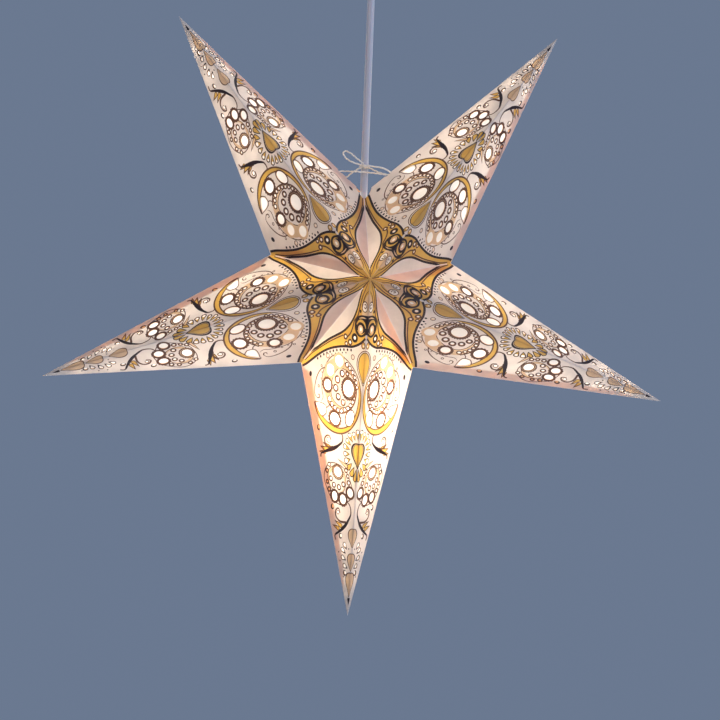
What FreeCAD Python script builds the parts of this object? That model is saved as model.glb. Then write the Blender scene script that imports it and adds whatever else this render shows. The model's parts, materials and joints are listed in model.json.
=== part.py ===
"""A five-pointed paper star lantern, hung on its lamp cord from a ceiling cup.

Frame: millimetres, +Z up. The origin is the centre of the ceiling face. The star's front faces -Y, one arm
points straight down and the cord runs down the Z axis through the notch between the two upper arms.
"""
import FreeCAD, Part
import math
import os
import re
import Sketcher
from FreeCAD import Placement, Rotation, Vector

DIMENSIONS = {
    # the star, measured from its own centre
    "star_drop": 360,  # ceiling down to the star's centre
    "tip_radius": 315,  # centre to an arm's tip: 600 mm between tips that are two arms apart
    "notch_radius": 92,  # centre to the notch between two arms
    "half_depth": 104,  # centre to the front point
    "card_thick": 0.5,
    "lining_thick": 0.2,
    "lining_gap": 0.9,  # lining to card, so that the seam flaps have room to fold
    "fold_gap": 2.6,  # lining to the ridge and to the seam
    "edge_gap": 1.8,  # lining to the arm's side edge
    "flap_wide": 11,
    "flap_start": 18,  # seam flap's first corner, along the seam from the front point
    "flap_stop": 130,
    "seam_strip": 2,  # the flap's root on its own arm
    "cord_opening": 7.5,  # radius cut out of the top notch, where the cord goes in
    "tie_height": 110,  # the tie's level above the star's centre
    "tie_hole": 2.8,  # radius of the holes in the upper arms' edges
    # cord and twine
    "cord_rad": 3.6,
    "twine_rad": 0.7,
    "wrap_gap": 0.3,  # twine wrap to cord
    "cord_top": 16,  # where the sheath ends inside the ceiling cup
    "bend_drop": 96,  # where the cord bends as the lantern swings
    "bend_gap": 1,
    "holder_top": 381,  # the cord ends here, in the lampholder
    # ceiling fitting
    "plate_long": 74,
    "plate_wide": 24,
    "plate_thick": 2,
    "screw_hole": 2.6,
    "screw_spacing": 56,
    "cup_rad": 46,
    "cup_tall": 58,
    "cup_wall": 2,
    "cup_mouth": 6,
    "cup_side": 16,  # depth of the straight side
    "cup_flat": 14,  # radius of the flat bottom
    "terminal_x": -24,
    "terminal_drop": 8.5,
    "clamp_wide": 20,
    "clamp_tall": 12,
    "clamp_drop": 27,  # the clamp screws' level
    "clamp_spacing": 14,
    "clamp_screw": 1.5,
    "clamp_bar_deep": 6,
    "leg_drop": 34,  # how far the plate's leg reaches under the ceiling
    "terminal_long": 12,
    "terminal_wide": 18,
    "terminal_tall": 11,
    "terminal_way": 4.5,  # the two ways' distance from the middle
    "barrel_rad": 2.2,
    "barrel_bore": 1.3,
    "terminal_screw": 1.5,
    "screw_well": 1.8,
    "core_rad": 1.1,
    # lampholder, E14 size
    "holder_rad": 14.5,
    "holder_wall": 1.6,
    "socket_rad": 7.1,
    "socket_wall": 0.5,
    "socket_long": 19,
    # bulb, E14 golf ball
    "globe_rad": 22.5,
    "glass_thick": 0.7,
    "cap_rad": 6.9,
    "cap_long": 17,
    "bead_tall": 3.6,  # foot contact and glass bead under the cap
    "neck_rad": 6.5,  # the glass inside the cap
    "shoulder_rad": 9.5,  # where the neck flares into the globe
    "shoulder_long": 8,  # cap's lip down to the top of the globe
    "neck_rise": 4,  # how far the neck goes into the cap
    "neck_fall": 3,  # how far it goes on below the cap before it flares
    "filament_rad": 0.9,
}

# Die-cut windows of one facet: along the ridge from the front point, across it, and the two half-sizes.
WINDOWS = [
    (88, 37, 5.4, 6.5),
    (99.5, 49.5, 6, 5.6),
    (114, 51, 5.4, 5.2),
    (110, 21, 9, 8.6),
    (139.5, 56.5, 6.4, 5.6),
    (144, 37, 6, 7.4),
    (137.5, 16, 8, 5.6),
    (193.5, 27, 5.6, 6),
    (218, 29.5, 5.2, 3.8),
    (218.5, 17.5, 5.6, 4.4),
    (209.5, 7.6, 5.2, 4),
]

# Each arm: the angle at which it points, seen from the front, and the sides on which it carries seam flaps:
# 1 is its clockwise side.
ARMS = {
    "top_left": (126, ()),
    "top_right": (54, (1, -1)),
    "right": (-18, (1,)),
    "bottom": (-90, (1,)),
    "left": (198, (1,)),
}

doc = FreeCAD.newDocument("paper_star_lantern")
sheet = doc.addObject("Spreadsheet::Sheet", "Sheet")
for row, (alias, value) in enumerate(DIMENSIONS.items(), start=1):
    sheet.set(f"A{row}", alias)
    sheet.set(f"B{row}", str(value))
    sheet.setAlias(f"B{row}", alias)
doc.recompute()
nodes = []


def linked(expression):
    """An expression of sheet aliases, as a property's expression engine wants it."""
    prefixed = lambda word: "Sheet." + word[0] if word[0] in DIMENSIONS else word[0]
    return re.sub(r"[a-z_]+", prefixed, expression)


def size(expression):
    """The value of an expression of sheet aliases."""
    return float(sheet.evalExpression(linked(expression).replace("Sheet.", "")))


def node(piece, label, place=Placement()):
    """Names a finished sub-part and puts it in its place."""
    piece.Label = label
    piece.Placement = place
    nodes.append(piece)
    return piece


def body(name):
    return doc.addObject("PartDesign::Body", name)


def lowered(drop):
    """The place on the Z axis, this far under the ceiling."""
    return Placement(Vector(0, 0, -size(drop)), Rotation())


def new_sketch(owner, name, role="XY_Plane", frame=None):
    """A sketch on one of the body's own planes, or at a frame of its own."""
    sketch = owner.newObject("Sketcher::SketchObject", name)
    if frame is None:
        plane = [item for item in owner.Origin.OriginFeatures if item.Role == role]
        sketch.AttachmentSupport = (plane[0], [""])
        sketch.MapMode = "FlatFace"
    else:
        sketch.Placement = frame
    return sketch


def hold_point(sketch, edge, end, corner):
    """Ties one end of an edge to the sheet, by its distance from both axes."""
    for axis, kind, expression in ((-2, "DistanceX", corner[0]), (-1, "DistanceY", corner[1])):
        if expression == "0":
            sketch.addConstraint(Sketcher.Constraint("PointOnObject", edge, end, axis))
        else:
            held = sketch.addConstraint(Sketcher.Constraint(kind, -1, 1, edge, end, size(expression)))
            sketch.setExpression(f"Constraints[{held}]", linked(expression))


def outline(sketch, corners, arcs=None):
    """A closed outline through corners written as sheet expressions. arcs gives an edge's middle point."""
    points = [Vector(size(x), size(y), 0) for x, y in corners]
    count = len(points)
    starts = [1] * count
    for edge, start in enumerate(points):
        end = points[(edge + 1) % count]
        if arcs and edge in arcs:
            middle = Vector(size(arcs[edge][0]), size(arcs[edge][1]), 0)
            sketch.addGeometry(Part.Arc(start, middle, end))
            clockwise = (middle - start).cross(end - start).z < 0
            starts[edge] = 2 if clockwise else 1  # a sketch's arc always runs anticlockwise
        else:
            sketch.addGeometry(Part.LineSegment(start, end))
    for edge in range(count):
        after = (edge + 1) % count
        sketch.addConstraint(Sketcher.Constraint("Coincident", edge, 3 - starts[edge], after, starts[after]))
    for edge, corner in enumerate(corners):
        hold_point(sketch, edge, starts[edge], corner)
    return sketch


def circle(sketch, x, y, radius):
    """A circle whose radius, and place if it isn't at the origin, come from the sheet."""
    edge = sketch.addGeometry(Part.Circle(Vector(size(x), size(y), 0), Vector(0, 0, 1), size(radius)))
    held = sketch.addConstraint(Sketcher.Constraint("Radius", edge, size(radius)))
    sketch.setExpression(f"Constraints[{held}]", linked(radius))
    for kind, axis, expression in (("DistanceX", -2, x), ("DistanceY", -1, y)):
        if expression == "0":
            sketch.addConstraint(Sketcher.Constraint("PointOnObject", edge, 3, axis))
        else:
            place = sketch.addConstraint(Sketcher.Constraint(kind, -1, 1, edge, 3, size(expression)))
            sketch.setExpression(f"Constraints[{place}]", linked(expression))


def turned(label, corners, drop, arcs=None):
    """A piece turned about Z. Its profile's corners are (radius, height), with height 0 at the drop."""
    piece = body(label)
    profile = outline(new_sketch(piece, label + "_profile", "XZ_Plane"), corners, arcs)
    turn = piece.newObject("PartDesign::Revolution", label + "_turn")
    turn.Profile = profile
    turn.ReferenceAxis = (profile, ["V_Axis"])
    turn.Angle = 360
    return node(piece, label, lowered(drop))


def padded(owner, sketch, thick, flip=False):
    pad = owner.newObject("PartDesign::Pad", sketch.Name + "_pad")
    pad.Profile = sketch
    pad.Reversed = flip
    pad.setExpression("Length", linked(thick))
    return pad


def pocketed(owner, sketch, deep):
    """A pocket cut to both sides of its sketch. It has to remove something."""
    doc.recompute()
    before = owner.Shape.Volume
    pocket = owner.newObject("PartDesign::Pocket", sketch.Name + "_pocket")
    pocket.Profile = sketch
    pocket.SideType = "Symmetric"
    pocket.setExpression("Length", linked(deep))
    doc.recompute()
    if not owner.Shape.Volume < before:
        raise ValueError(f"{pocket.Name} cuts nothing")
    return pocket


# ---------------------------------------------------------------- folded arms
# An arm's own frame: Z runs out along the arm, X across it in the star's plane, Y from front to back.


def arm_place(angle):
    """Lays the arm's frame into the star, pointing at this angle in the star's plane."""
    return Placement(Vector(0, 0, -size("star_drop")), Rotation(Vector(0, 1, 0), 90 - angle))


def notch_point(side):
    """Where the arm's side edge meets its neighbour's."""
    return Vector(side * size("notch_radius * sin(36)"), 0, size("notch_radius * cos(36)"))


def facet_frame(side, face):
    """Front point, ridge direction, direction across and outward normal of one of an arm's four facets.

    side is 1 or -1 across the arm, and face is -1 for the front and 1 for the back."""
    point = Vector(0, face * size("half_depth"), 0)
    tip = Vector(0, 0, size("tip_radius"))
    along = (tip - point).normalize()
    across = notch_point(side) - point
    across = (across - along * across.dot(along)).normalize()
    outward = along.cross(across)
    if outward.x * side < 0:
        outward = -outward
    return point, along, across, outward


def facet_name(label, part, side, face):
    """A name for a sketch on one of the four facets, numbered 0, 2, 4 and 6."""
    return f"{label}_{part}_{side + 2 * face + 3}"


def frame_at(origin, x_axis, y_axis):
    return Placement(origin, Rotation(x_axis, y_axis, x_axis.cross(y_axis), "XYZ"))


def drawn_in(corners, gaps):
    """The corners of a triangle whose sides move inwards, the side after each corner by that corner's gap."""
    result = []
    for k, corner in enumerate(corners):
        ahead = (corners[(k + 1) % 3] - corner).normalize()
        behind = (corners[k - 1] - corner).normalize()
        reach = 1 / math.sin(ahead.getAngle(behind))
        result.append(corner + (ahead * gaps[k - 1] + behind * gaps[k]) * reach)
    return result


def lining_sheets(label):
    """The four flat sheets of thin paper glued behind an arm's facets, clear of its seams and folds."""
    lining = body(label)
    lining.AllowCompound = True
    fold, edge = size("fold_gap"), size("edge_gap")
    ridge = math.hypot(size("half_depth"), size("tip_radius"))
    for side in (1, -1):
        for face in (-1, 1):
            point, along, across, outward = facet_frame(side, face)
            reach = notch_point(side) - point
            facet = [Vector(), Vector(reach * along, reach * across, 0), Vector(ridge, 0, 0)]
            inner = drawn_in(facet, (fold, edge, fold))
            place = frame_at(point - outward * size("card_thick + lining_gap"), along, across)
            sketch = new_sketch(lining, facet_name(label, "sheet", side, face), frame=place)
            outline(sketch, [(f"{corner.x:.2f}", f"{corner.y:.2f}") for corner in inner])
            padded(lining, sketch, "lining_thick", flip=along.cross(across).dot(outward) > 0)
    return lining


def hollow_arm(label, wall):
    """The four folded facets of one arm: a hollow pyramid, cut to the arm's fifth of the star.

    The inside is the same pyramid drawn back along the arm."""
    arm = body(label)
    base_half = "notch_radius * sin(36) * tip_radius / (tip_radius - notch_radius * cos(36))"
    draw_back = 1 / abs(facet_frame(1, -1)[3].z)
    skins = [("outer", "0", "AdditiveLoft"), ("inner", wall, "SubtractiveLoft")]
    for skin, depth, kind in skins:
        base = new_sketch(arm, f"{label}_{skin}_base")
        outline(base, [(base_half, "0"), ("0", "half_depth"), (f"-({base_half})", "0"), ("0", "-half_depth")])
        point = new_sketch(arm, f"{label}_{skin}_tip")
        point.addGeometry(Part.Point(Vector(0, 0, 0)))
        for sketch, station in ((base, "0"), (point, "tip_radius")):
            height = f"{station} - {draw_back:.6f} * {depth}"
            sketch.AttachmentOffset = Placement(Vector(0, 0, size(height)), Rotation())
            sketch.setExpression("AttachmentOffset.Base.z", linked(height))
        loft = arm.newObject("PartDesign::" + kind, f"{label}_{skin}")
        loft.Profile = base
        loft.Sections = [(point, ["Vertex1"])]
        loft.Ruled = True
    away = new_sketch(arm, label + "_neighbours", "XZ_Plane")
    outline(
        away,
        [("-notch_radius", "-20"), ("notch_radius", "-20"), ("notch_radius", "notch_radius / tan(36)")]
        + [("0", "0"), ("-notch_radius", "notch_radius / tan(36)")],
    )
    pocketed(arm, away, "half_depth * 3")
    return arm


def cut_windows(arm, label):
    """Die-cut windows through all four facets."""
    for side in (1, -1):
        for face in (-1, 1):
            point, along, across, _ = facet_frame(side, face)
            place = frame_at(point, along, across)
            sketch = new_sketch(arm, facet_name(label, "windows", side, face), frame=place)
            for u, v, half_u, half_v in WINDOWS:
                major, minor = Vector(u + half_u, v, 0), Vector(u, v + half_v, 0)
                if half_v > half_u:
                    major, minor = Vector(u, v + half_v, 0), Vector(u - half_u, v, 0)
                sketch.addGeometry(Part.Ellipse(major, minor, Vector(u, v, 0)))
            pocketed(arm, sketch, "card_thick * 4")


def add_flap(arm, label, side, face):
    """A glue flap: a root strip on the arm's own side of a seam, and the flap inside its neighbour."""
    point, along, across, outward = facet_frame(side, face)
    seam = (notch_point(side) - point).normalize()
    inward = (along - seam * along.dot(seam)).normalize()
    mirror = Vector(side * math.cos(math.radians(36)), 0, -math.sin(math.radians(36)))
    lay = lambda v: v - mirror * (2 * v.dot(mirror))
    root = (inward, outward, "card_thick", "card_thick + lining_thick", "seam_strip", "0")
    leaf = (lay(inward), lay(outward), "card_thick + lining_thick", "card_thick", "flap_wide", "flap_wide")
    for part, (over, out, depth, thick, wide, taper) in (("root", root), ("leaf", leaf)):
        place = frame_at(point - out * size(depth), seam, over)
        sketch = new_sketch(arm, facet_name(label, part, side, face), frame=place)
        outline(
            sketch,
            [("flap_start", "-card_thick * 2"), ("flap_stop", "-card_thick * 2")]
            + [(f"flap_stop - {taper}", wide), (f"flap_start + {taper}", wide)],
        )
        padded(arm, sketch, thick, flip=seam.cross(over).dot(out) > 0)


def cut_cord_way(arm, label, angle, holes):
    """Trims the top notch for the cord, and punches the tie's holes through the folded edge."""
    to_arm = arm_place(angle).Rotation.inverted()
    up, right, back = (to_arm.multVec(v) for v in (Vector(0, 0, 1), Vector(1, 0, 0), Vector(0, 1, 0)))
    mouth = new_sketch(arm, label + "_mouth", frame=frame_at(up * size("notch_radius"), right, back))
    circle(mouth, "0", "0", "cord_opening")
    pocketed(arm, mouth, "cord_opening * 5")
    toward = 1 if angle < 90 else -1
    rise_out = size("tip_radius * sin(54) - notch_radius") / size("tip_radius * cos(54)")
    for number, rise in enumerate(holes):
        level = size("tie_height") + rise
        edge = (level - size("notch_radius")) / rise_out
        centre = up * level + right * (toward * (edge + size("tie_hole")))
        hole = new_sketch(arm, f"{label}_tie_hole_{number}", frame=frame_at(centre, back, up))
        circle(hole, "0", "0", "tie_hole")
        pocketed(arm, hole, "tie_hole * 6")


TIE_HOLES = {"top_left": (2.5, -4), "top_right": (1.5,)}  # above and below the tie's level


def make_arms():
    for name, (angle, flaps) in ARMS.items():
        label = f"arm_{name}_card"
        card = hollow_arm(label, "card_thick")
        cut_windows(card, label)
        for side in flaps:
            for face in (-1, 1):
                add_flap(card, label, side, face)
        lining_label = f"arm_{name}_lining"
        lining = lining_sheets(lining_label)
        if name in TIE_HOLES:
            cut_cord_way(card, label, angle, TIE_HOLES[name])
            cut_cord_way(lining, lining_label, angle, TIE_HOLES[name])
        node(card, label, arm_place(angle))
        node(lining, lining_label, arm_place(angle))


# ---------------------------------------------------------------- cord, twine


def rounded_path(points):
    """Straight runs joined by tangent arcs: each arc takes 0.45 of the shorter run beside its corner."""
    edges, radii, start = [], [], points[0]
    for before, corner, after in zip(points, points[1:], points[2:]):
        into, away = (corner - before), (after - corner)
        turn = into.getAngle(away)
        trim = 0.45 * min(into.Length, away.Length)
        radii.append(trim / math.tan(turn / 2))
        first = corner - into.normalize() * trim
        last = corner + away.normalize() * trim
        bisector = ((first + last) * 0.5 - corner).normalize()
        centre = corner + bisector * math.hypot(trim, radii[-1])
        middle = centre - bisector * radii[-1]
        edges.append(Part.LineSegment(start, first).toShape())
        edges.append(Part.Arc(first, middle, last).toShape())
        start = last
    edges.append(Part.LineSegment(start, points[-1]).toShape())
    return Part.Wire(edges), radii


def tube(label, points, radius):
    """A round tube along a route, as a swept solid, with its volume compared to section times length."""
    path, radii = rounded_path([Vector(*point) for point in points])
    start = path.Vertexes[0].Point
    direction = path.Edges[0].tangentAt(path.Edges[0].FirstParameter)
    section = Part.Wire(Part.makeCircle(radius, start, direction))
    shape = path.makePipeShell([section], True, True)
    ratio = shape.Volume / (math.pi * radius**2 * path.Length)
    bends = [round(radius, 1) for radius in radii]
    print(f"{label}: length {path.Length:.1f} mm, radii {bends}, volume ratio {ratio:.3f}")
    piece = doc.addObject("Part::Feature", label)
    piece.Shape = shape
    return node(piece, label)


def cylinder(label, radius, height, drop, x="0", y="0"):
    """An upright cylinder whose top is this far under the ceiling."""
    piece = doc.addObject("Part::Cylinder", label)
    piece.setExpression("Radius", linked(radius))
    piece.setExpression("Height", linked(height))
    top = Placement(Vector(size(x), size(y), -size(f"{drop} + {height}")), Rotation())
    return node(piece, label, top)


def make_cord():
    cylinder("cord_upper", "cord_rad", "bend_drop - cord_top - bend_gap / 2", "cord_top")
    cylinder("cord_drop", "cord_rad", "holder_top - bend_drop - bend_gap / 2", "bend_drop + bend_gap / 2")


def make_tie():
    """The twine that closes the top seam: through both upper arms, and tied in a slip bow on the cord."""
    level = size("tie_height - star_drop")
    hold = size("cord_rad + wrap_gap + twine_rad")
    front = -hold - 1.8
    upper, lower = level + 2.5, level - 4
    twine = size("twine_rad")
    strands = [
        (-3.5, front - 0.4, level + 6.6),
        (-11, front * 0.75, level + 2.6),
        (-18, -0.8, lower),
        (-22.5, 0.2, lower - 0.4),
        (-27, 0.4, level - 1),
        (-26, -0.6, upper),
        (-20, -1.4, upper + 0.2),
        (-6, front, upper - 0.3),
        (8, front, upper - 0.9),
        (19, -1.9, level + 1.4),
        (26, -0.8, level + 1.2),
        (30, -1.4, level + 1.2),
        (30.2, 1.4, level + 1.6),
        (26, 0.9, level + 1.8),
        (20, 0.4, level + 2),
        (11, front * 0.72, level + 3.4),
        (3.5, front - 0.4, level + 6.6),
    ]
    tube("tie_twine", strands, twine)
    wrap = doc.addObject("Part::Torus", "tie_wrap")
    wrap.setExpression("Radius1", linked("cord_rad + wrap_gap + twine_rad"))
    wrap.setExpression("Radius2", linked("twine_rad"))
    node(wrap, "tie_wrap", Placement(Vector(0, 0, level + 7.6), Rotation()))
    knot = doc.addObject("Part::Ellipsoid", "tie_knot")
    for radius, share in (("Radius1", 3.1), ("Radius2", 5.2), ("Radius3", 2.6)):
        knot.setExpression(radius, linked(f"twine_rad * {share}"))
    node(knot, "tie_knot", Placement(Vector(0, front - 0.6, level + 7.6), Rotation()))
    loop = [
        (-1.6, front - 1.8, level + 9.8),
        (-8.5, front - 1.6, level + 14.5),
        (-15, front - 1.5, level + 20),
        (-20.5, front - 1.2, level + 21.8),
        (-22.3, front - 0.6, level + 19.2),
        (-19.5, front - 0.2, level + 14.8),
        (-13, front - 0.2, level + 10.8),
        (-3.2, front - 1, level + 8.4),
    ]
    tube("tie_bow_loop", loop, twine)
    tail = [
        (2.8, front - 1.4, level + 8.4),
        (8, front - 1.8, level + 7.4),
        (14, front - 1.4, level + 7.4),
        (20, front - 0.6, level + 6),
        (25, front, level + 3),
    ]
    tube("tie_tail", tail, twine)


# ---------------------------------------------------------------- ceiling fitting


def make_ceiling_plate():
    plate = body("ceiling_plate")
    strap = new_sketch(plate, "strap")
    half_long, half_wide = "plate_long / 2", "plate_wide / 2"
    outline(
        strap,
        [(f"-{half_long}", f"-{half_wide}"), (half_long, f"-{half_wide}")]
        + [(half_long, half_wide), (f"-{half_long}", half_wide)],
    )
    padded(plate, strap, "plate_thick", flip=True)
    holes = new_sketch(plate, "screw_holes")
    for x in ("-screw_spacing / 2", "screw_spacing / 2"):
        circle(holes, x, "0", "screw_hole")
    pocketed(plate, holes, "plate_thick * 3")
    leg = new_sketch(plate, "leg", "XZ_Plane")
    leg.AttachmentOffset = Placement(Vector(0, 0, -size("plate_wide / 2")), Rotation())
    leg.setExpression("AttachmentOffset.Base.z", linked("-plate_wide / 2"))
    outline(
        leg,
        [("-clamp_wide / 2", "-plate_thick / 2"), ("clamp_wide / 2", "-plate_thick / 2")]
        + [("clamp_wide / 2", "-leg_drop"), ("-clamp_wide / 2", "-leg_drop")],
    )
    padded(plate, leg, "plate_thick")
    clamp_holes = new_sketch(plate, "clamp_holes", "XZ_Plane")
    clamp_holes.AttachmentOffset = leg.AttachmentOffset
    for x in ("-clamp_spacing / 2", "clamp_spacing / 2"):
        circle(clamp_holes, x, "-clamp_drop", "clamp_screw")
    pocketed(plate, clamp_holes, "plate_thick * 3")
    node(plate, "ceiling_plate")


def block(label, length, width, height, x, y, drop):
    """A box, centred at x and y, whose top is this far under the ceiling."""
    piece = doc.addObject("Part::Box", label)
    for side, expression in (("Length", length), ("Width", width), ("Height", height)):
        piece.setExpression(side, linked(expression))
    low = Vector(size(x) - size(length) / 2, size(y) - size(width) / 2, -size(drop) - size(height))
    piece.Placement = Placement(low, Rotation())
    return piece


def cut(label, base, tools):
    """One piece with the tools taken out of it."""
    for number, tool in enumerate(tools):
        result = doc.addObject("Part::Cut", f"{label}_{number}")
        result.Base, result.Tool = base, tool
        base = result
    return node(base, label)


def hole(name, radius, height, x, y, drop, axis=Vector(0, 0, 1)):
    """A cylinder used as a cutter, centred on the point x, y, drop."""
    tool = doc.addObject("Part::Cylinder", name)
    tool.setExpression("Radius", linked(radius))
    tool.setExpression("Height", linked(height))
    turn = Rotation(Vector(0, 0, 1), axis)
    centre = Vector(size(x), size(y), -size(drop))
    tool.Placement = Placement(centre - turn.multVec(Vector(0, 0, size(height) / 2)), turn)
    return tool


def make_cord_clamp():
    """A saddle screwed to the plate's leg and a bar across the cord: the strain relief."""
    saddle_deep = "(plate_wide / 2 - plate_thick)"
    top = "clamp_drop - clamp_tall / 2"
    jaws = [("saddle", saddle_deep, saddle_deep + " / 2"), ("bar", "clamp_bar_deep", "-clamp_bar_deep / 2")]
    for name, deep, y in jaws:
        jaw = block(f"{name}_block", "clamp_wide", deep, "clamp_tall", "0", y, top)
        tools = [hole(f"{name}_groove", "cord_rad", "clamp_tall * 2", "0", "0", "clamp_drop")]
        for x in ("-clamp_spacing / 2", "clamp_spacing / 2"):
            way = (x, "0", "clamp_drop", Vector(0, 1, 0))
            tools.append(hole(f"{name}_screw", "clamp_screw", "plate_wide * 2", *way))
        cut(f"clamp_{name}", jaw, tools)
    half = size("clamp_spacing / 2")
    heads = [(x, -size("clamp_bar_deep"), -size("clamp_drop")) for x in (-half, half)]
    shank = size("plate_wide / 2 + clamp_bar_deep + 1")
    screws = {"radius": size("clamp_screw - 0.05"), "length": shank, "head_radius": 2.6, "head_tall": 1.6}
    screw_set("clamp_screws", heads, axis=Vector(0, 1, 0), **screws)


def screw_set(label, heads, radius, length, head_radius, head_tall, axis):
    """Like screws as one node. Each head's seat is at its point and the shank runs along axis."""
    turn = Rotation(Vector(0, 0, 1), axis)
    solids = []
    for point in heads:
        shank = Part.makeCylinder(radius, length)
        head = Part.makeCylinder(head_radius, head_tall, Vector(0, 0, -head_tall))
        slot = Part.makeBox(head_radius * 2, 0.6, 0.8, Vector(-head_radius, -0.3, -head_tall))
        screw = shank.fuse(head).cut(slot)
        screw.Placement = Placement(Vector(*point), turn)
        solids.append(screw)
    piece = doc.addObject("Part::Feature", label)
    piece.Shape = Part.makeCompound(solids)
    return node(piece, label)


def make_terminals():
    """A two-way terminal block on the plate, its brass barrels with their screws, and the two cores."""
    across = Vector(1, 0, 0)
    x, level, way = size("terminal_x"), -size("terminal_drop"), size("terminal_way")
    length, radius = size("terminal_long") - 1, size("barrel_rad")
    sides = ("terminal_long", "terminal_wide", "terminal_tall")
    base = block("terminal_base", *sides, "terminal_x", "0", "plate_thick")
    screw_top = size("barrel_rad + 2.1")  # down from the barrel's axis
    end = 0.4 - size("cord_top")  # the cores start inside the sheath's end
    tools, barrels = [], []
    for name, y in (("live", -way), ("neutral", way)):
        spot = ("terminal_x", f"{y}")
        tools.append(hole(f"way_{name}", "barrel_rad", "terminal_long * 2", *spot, "terminal_drop", across))
        tools.append(hole(f"well_{name}", "screw_well", "8", *spot, "terminal_drop + 4"))
        barrel = Part.makeCylinder(radius, length, Vector(x - length / 2, y, level), across)
        bore_start = Vector(x - length / 2 - 0.5, y, level)
        bore = Part.makeCylinder(size("barrel_bore"), length + 1, bore_start, across)
        screw = Part.makeCylinder(size("terminal_screw"), 2.6, Vector(x, y, level - screw_top))
        barrels.append(barrel.cut(bore).fuse(screw))
        route = [(0, y * 0.3, end), (-0.4, y * 0.36, end + 4), (-6, y * 0.7, level + 0.6)]
        route += [(-12, y, level), (x, y, level)]
        tube(f"core_{name}", route, size("core_rad"))
    cut("terminal_block", base, tools)
    piece = doc.addObject("Part::Feature", "terminal_barrels")
    piece.Shape = Part.makeCompound(barrels)
    node(piece, "terminal_barrels")


def make_cup():
    """The ceiling cup: a turned shell, open at the top, with a short neck that the gland sits in."""
    floor = "-cup_tall + cup_wall"
    corners = [
        ("cup_rad", "0"),
        ("cup_rad", "-cup_side"),
        ("cup_flat", "-cup_tall"),
        ("cup_mouth", "-cup_tall"),
        ("cup_mouth", floor),
        ("cup_flat", floor),
        ("cup_rad - cup_wall", "-cup_side"),
        ("cup_rad - cup_wall", "0"),
    ]
    bulge = "cup_rad - (cup_rad - cup_flat) * 0.25"
    bulge_height = "-cup_side - (cup_tall - cup_side) * 0.68"
    arcs = {
        1: (bulge, bulge_height),
        5: (f"{bulge} - cup_wall * 0.8", f"{bulge_height} + cup_wall * 0.6"),
    }
    turned("ceiling_cup", corners, "0", arcs)
    gland = [
        ("cup_mouth", "0"),
        ("cup_mouth", "-cup_wall"),
        ("cup_mouth + 2", "-cup_wall"),
        ("cup_mouth + 1.4", "-6"),
        ("cord_rad + 1", "-9"),
        ("cord_rad + 0.05", "-9"),
        ("cord_rad + 0.05", "3"),
        ("cup_mouth + 1.4", "3"),
        ("cup_mouth + 1.4", "0"),
    ]
    turned("cup_gland", gland, "cup_tall - cup_wall")


# ---------------------------------------------------------------- lampholder and bulb


def make_lampholder():
    grip = [
        ("cord_rad", "8"),
        ("5.4", "8"),
        ("6.6", "2"),
        ("6.6", "0"),
        ("5", "0"),
        ("5", "-9"),
        ("cord_rad", "-9"),
    ]
    turned("holder_cord_grip", grip, "holder_top - 6")
    cap = [
        ("5", "0"),
        ("9.5", "0"),
        ("holder_rad - 1", "-5"),
        ("holder_rad", "-10"),
        ("holder_rad", "-20"),
        ("holder_rad - holder_wall", "-20"),
        ("holder_rad - holder_wall", "-10"),
        ("holder_rad - 1 - holder_wall", "-6"),
        ("9", "-holder_wall"),
        ("5", "-holder_wall"),
    ]
    turned("holder_cap", cap, "holder_top - 6")
    sleeve = [
        ("holder_rad - holder_wall", "0"),
        ("holder_rad - holder_wall / 2", "0"),
        ("holder_rad - holder_wall / 2", "-2"),
        ("holder_rad", "-2"),
        ("holder_rad", "-26"),
        ("holder_rad + 1.2", "-28"),
        ("holder_rad + 1.2", "-30"),
        ("holder_rad - holder_wall", "-30"),
    ]
    turned("holder_sleeve", sleeve, "holder_top + 14")
    insert = [
        ("0", "0"),
        ("holder_rad - holder_wall", "0"),
        ("holder_rad - holder_wall", "-4"),
        ("socket_rad + socket_wall + 2", "-6"),
        ("socket_rad + socket_wall + 2", "-26"),
        ("socket_rad + socket_wall", "-26"),
        ("socket_rad + socket_wall", "-4"),
        ("0", "-4"),
    ]
    turned("socket_insert", insert, "holder_top + 15")
    shell = [
        ("socket_rad", "-2"),
        ("socket_rad + socket_wall", "-2"),
        ("socket_rad + socket_wall", "-2 - socket_long"),
        ("socket_rad", "-2 - socket_long"),
    ]
    turned("socket_shell", shell, "holder_top + 21")
    spring = [("0", "0"), ("3", "0"), ("3", "-0.5"), ("1.6", "-1.6"), ("0", "-1.6")]
    turned("socket_contact", spring, "holder_top + 19")


def globe_solid(name, wall, lip):
    """The bulb's outside, or its inside drawn in by the wall: a ball, a flare and a neck.

    lip is how far the cap's edge is under the ceiling."""
    kinds = ("Sphere", "Cylinder", "Cone")
    ball, neck, flare = (doc.addObject("Part::" + kind, f"{name}_{kind}") for kind in kinds)
    centre = f"({lip} + shoulder_long + globe_rad)"
    join = f"({centre} - sqrt((globe_rad - {wall})^2 - (shoulder_rad - {wall})^2))"
    ball.setExpression("Radius", linked(f"globe_rad - {wall}"))
    ball.Placement = lowered(centre)
    neck.setExpression("Radius", linked(f"neck_rad - {wall}"))
    neck.setExpression("Height", linked("neck_rise + neck_fall"))
    neck.Placement = lowered(f"{lip} + neck_fall")
    flare.setExpression("Radius1", linked(f"shoulder_rad - {wall}"))
    flare.setExpression("Radius2", linked(f"neck_rad - {wall}"))
    flare.setExpression("Height", linked(f"{join} - ({lip} + neck_fall)"))
    flare.Placement = lowered(join)
    solid = doc.addObject("Part::MultiFuse", name)
    solid.Shapes = [ball, neck, flare]
    return solid


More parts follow.
